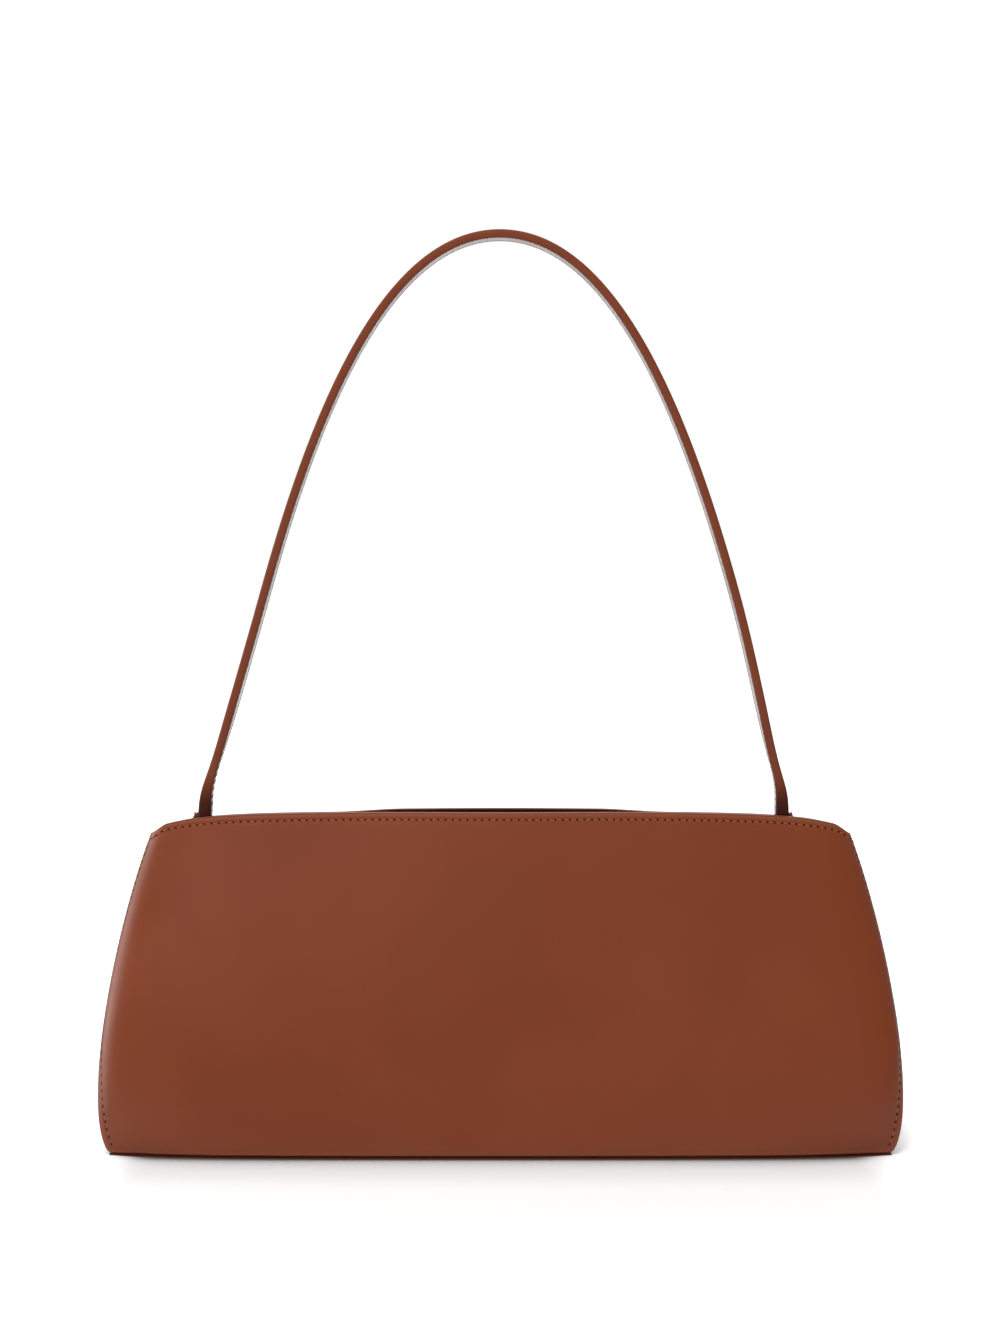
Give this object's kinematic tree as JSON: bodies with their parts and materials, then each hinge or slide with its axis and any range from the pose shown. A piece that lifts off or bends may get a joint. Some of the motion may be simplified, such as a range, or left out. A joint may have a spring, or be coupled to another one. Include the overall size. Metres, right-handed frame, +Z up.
{
  "type": "baguette bag",
  "caption": "Open-topped leather shoulder bag, wide and low, with folded end gussets, a magnetic snap and a slim fixed strap.",
  "frame": {"origin": "centre of the underside, on the surface that the bag stands on", "axes": "+Z up through the top of the strap, -Y towards the front panel, X along the bag's length"},
  "size_m": [0.3214, 0.1008, 0.3736],
  "materials": {
    "calf_body": "smooth tan calf, satin",
    "calf_strap": "smooth tan calf with painted edges",
    "calf_facing": "smooth tan calf, matte",
    "lining_cloth": "brown cotton twill",
    "fibre_board": "grey bag board",
    "reinforcing_tape": "woven nylon tape",
    "brass_snap": "satin plated",
    "snap_steel": "plain zinc plated"
  },
  "bodies": {
    "bag": {"base_panel": "calf_body", "base_board": "fibre_board", "base_lining": "lining_cloth", "left_gusset": "calf_body", "right_gusset": "calf_body", "left_gusset_lining": "lining_cloth", "right_gusset_lining": "lining_cloth", "left_tab_patch": "calf_facing", "right_tab_patch": "calf_facing", "left_strap_tab": "calf_strap", "right_strap_tab": "calf_strap"},
    "front_side": {"front_panel": "calf_body", "front_rim_tape": "reinforcing_tape", "front_facing": "calf_facing", "front_lining": "lining_cloth", "front_snap_socket": "brass_snap", "front_snap_magnet": "snap_steel", "front_snap_washer": "snap_steel"},
    "back_side": {"back_panel": "calf_body", "back_rim_tape": "reinforcing_tape", "back_facing": "calf_facing", "back_lining": "lining_cloth", "slip_pocket": "lining_cloth", "pocket_trim": "calf_facing", "back_snap_stud": "brass_snap", "back_snap_washer": "snap_steel"},
    "strap": {"strap_outer": "calf_strap", "strap_core": "reinforcing_tape", "strap_inner": "calf_strap"}
  },
  "joints": [
    {"name": "strap_swing", "type": "hinge", "parent": "bag", "child": "strap", "pos_m": [0, 0, 0.14507], "axis": [1, 0, 0], "range_deg": [-90, 90]},
    {"name": "front_open", "type": "hinge", "parent": "bag", "child": "front_side", "pos_m": [0, -0.0504, 0.0016], "axis": [1, 0, 0], "range_deg": [0, 7]},
    {"name": "back_open", "type": "hinge", "parent": "bag", "child": "back_side", "pos_m": [0, 0.0504, 0.0016], "axis": [-1, 0, 0], "range_deg": [0, 7]}
  ]
}
